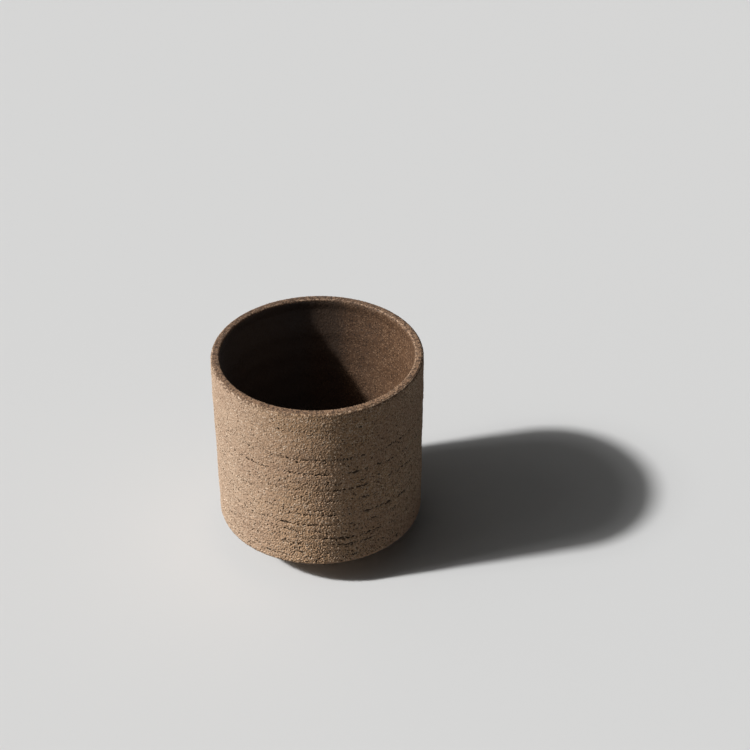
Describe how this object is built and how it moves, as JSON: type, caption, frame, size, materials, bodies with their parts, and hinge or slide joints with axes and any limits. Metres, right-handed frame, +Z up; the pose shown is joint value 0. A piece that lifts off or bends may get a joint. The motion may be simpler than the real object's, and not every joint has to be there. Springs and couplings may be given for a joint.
{
  "type": "tumbler",
  "caption": "Straight-sided stoneware tumbler with a coarse bare outer wall, a dark glazed lining and a small foot ring set far in under the body.",
  "frame": {"origin": "on the cup's axis, in the plane that the foot ring rests on", "axes": "+Z up along the cup's axis, from the foot to the lip; X and Y are alike, because the cup is turned"},
  "size_m": [0.08, 0.08, 0.0815],
  "materials": {
    "bare_clay": "coarse, unglazed, matt",
    "turned_clay": "turned and sponged, unglazed, matt",
    "liner_glaze": "thin dark satin glaze"
  },
  "bodies": {
    "root": {"stoneware_body": "bare_clay", "liner_glaze": "liner_glaze", "foot_ring": "turned_clay"}
  },
  "joints": []
}
